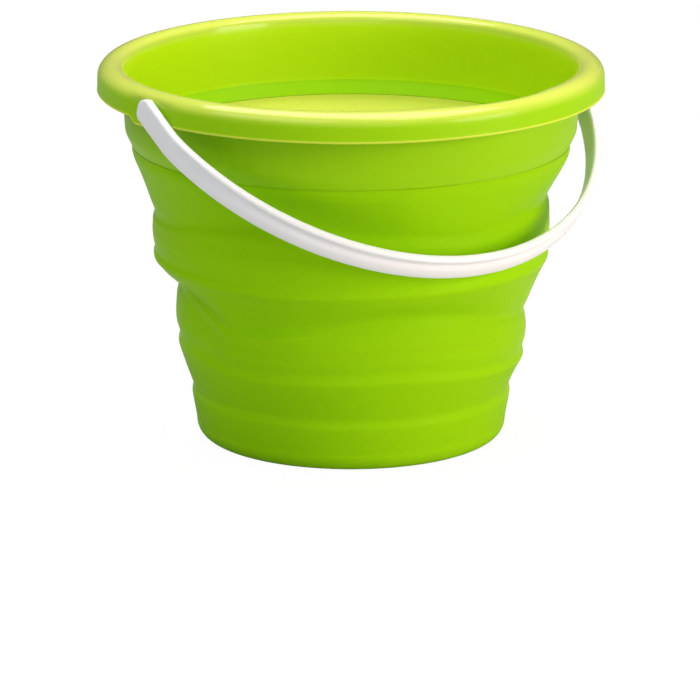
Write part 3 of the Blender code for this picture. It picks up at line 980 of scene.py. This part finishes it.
def bailHandle():
    piece = barBlank()
    carveBar(piece)
    applyModifier(piece, "SUBSURF", levels=1, render_levels=1)
    gap = handle["gap"]
    behind = padIn - pivot["bossThickness"] - gap
    middle = hoopRadius(0) + handle["thickness"] / 2
    for side in (-1, 1):
        shoulder = pinBar("shoulder", handle["shoulderRadius"], rim["padAt"] + gap, middle, side)
        shank = pinBar("shank", handle["shankRadius"], behind - 0.0005, middle, side)
        head = pinBar("pinHead", handle["headRadius"], behind - handle["headThickness"], behind, side)
        bevelEdges(head, handle["headRound"], 2, 50)
        for bar in (shank, head, shoulder):
            cutWith(piece, bar, "UNION")
    piece.rotation_euler = (deg(handle["hang"]), 0, 0)
    piece.location = (0, 0, pivot["height"])
    placeInMesh(piece)
    shadeSmooth(piece, 42)
    dress(piece, "handle", handleWhite)
    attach(piece, "handle")
    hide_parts("bail_handle")
    return piece


bail = bailHandle()
print("handle made", len(bail.data.polygons))


# floor, light and camera

def fromPhoto(x, y, z):
    # a point given to the right of, behind and above the bucket as the camera sees it
    return Matrix.Rotation(deg(studio["azimuth"]), 3, "Z") @ Vector((x, y, z))


# place to the right of, behind and above the bucket, size, power and colour
lamps = {
    "keyLight": ((2.0, -1.1, 0.5), (1.2, 1.4), 47, (1.0, 0.80, 0.68)),
    "topLight": ((0.10, 0.15, 1.9), (2.4, 1.4), 49, (1.0, 0.96, 0.92)),
    "highLight": ((-1.3, -1.3, 2.1), (2.2, 1.2), 20, (0.98, 1.0, 0.96)),
    "frontLight": ((0.1, -2.6, 1.0), (2.0, 1.4), 8, (0.98, 1.0, 1.0)),
}


def areaLight(name, place, size, power, colour):
    deselectAll()
    bpy.ops.object.light_add(type="AREA", location=fromPhoto(*place))
    lamp = bpy.context.object
    lamp.name = name
    lamp.data.shape = "RECTANGLE"
    lamp.data.size, lamp.data.size_y = size
    lamp.data.energy = power
    lamp.data.color = colour
    aim = Vector(studio["lampAim"]) - lamp.location
    lamp.rotation_euler = aim.to_track_quat("-Z", "Y").to_euler()


def studioFloor():
    deselectAll()
    bpy.ops.mesh.primitive_plane_add(size=studio["floorSize"], location=(0, 0, -studio["floorDrop"]))
    floor = nameNew("studioFloor")
    finish = Finish("paleFloor")
    finish.set(Base_Color=studio["floorGrey"], Roughness=studio["floorRoughness"])
    rays = finish.node("ShaderNodeLightPath", out="Is Camera Ray")
    shine = {"Color": (1, 1, 1, 1), "Strength": studio["floorWhite"]}
    white = finish.node("ShaderNodeEmission", None, shine)
    paper = Wire(finish, finish.shader.outputs[0])
    share = rays * studio["floorWhiteShare"]
    mixed = finish.node("ShaderNodeMixShader", None, {0: share, 1: paper, 2: white})
    finish.feed(finish.output.inputs["Surface"], mixed)
    floor.data.materials.append(finish.material)


def studioSky():
    world = bpy.data.worlds.new("studioSky")
    bpy.context.scene.world = world
    world.use_nodes = True
    nodes = Nodes(world.node_tree)
    sky = world.node_tree.nodes["Background"]
    straight = nodes.node("ShaderNodeLightPath", out="Is Camera Ray")
    through = nodes.node("ShaderNodeLightPath", out="Is Transmission Ray")
    seen = nodes.node("ShaderNodeMath", {"operation": "MAXIMUM"}, {0: straight, 1: through})
    nodes.feed(sky.inputs["Color"], (1, 1, 1, 1))
    nodes.feed(sky.inputs["Strength"], studio["skyLight"] + seen * (1 - studio["skyLight"]))


def studioCamera():
    deselectAll()
    place = fromPhoto(0, -studio["cameraDistance"], studio["cameraHeight"])
    bpy.ops.object.camera_add(location=place)
    camera = bpy.context.object
    camera.name = "photoCamera"
    turn = deg(studio["azimuth"] + studio["yaw"])
    camera.rotation_euler = (deg(90 - studio["pitch"]), 0, turn)
    camera.data.lens = studio["lens"]
    camera.data.sensor_width = studio["sensor"]
    camera.data.clip_end = 50
    bpy.context.scene.camera = camera


studioFloor()
studioSky()
studioCamera()
for lampName, lampSettings in lamps.items():
    areaLight(lampName, *lampSettings)
bpy.context.scene.view_settings.view_transform = "Standard"
print("studio made")

bpy.context.view_layer.update()
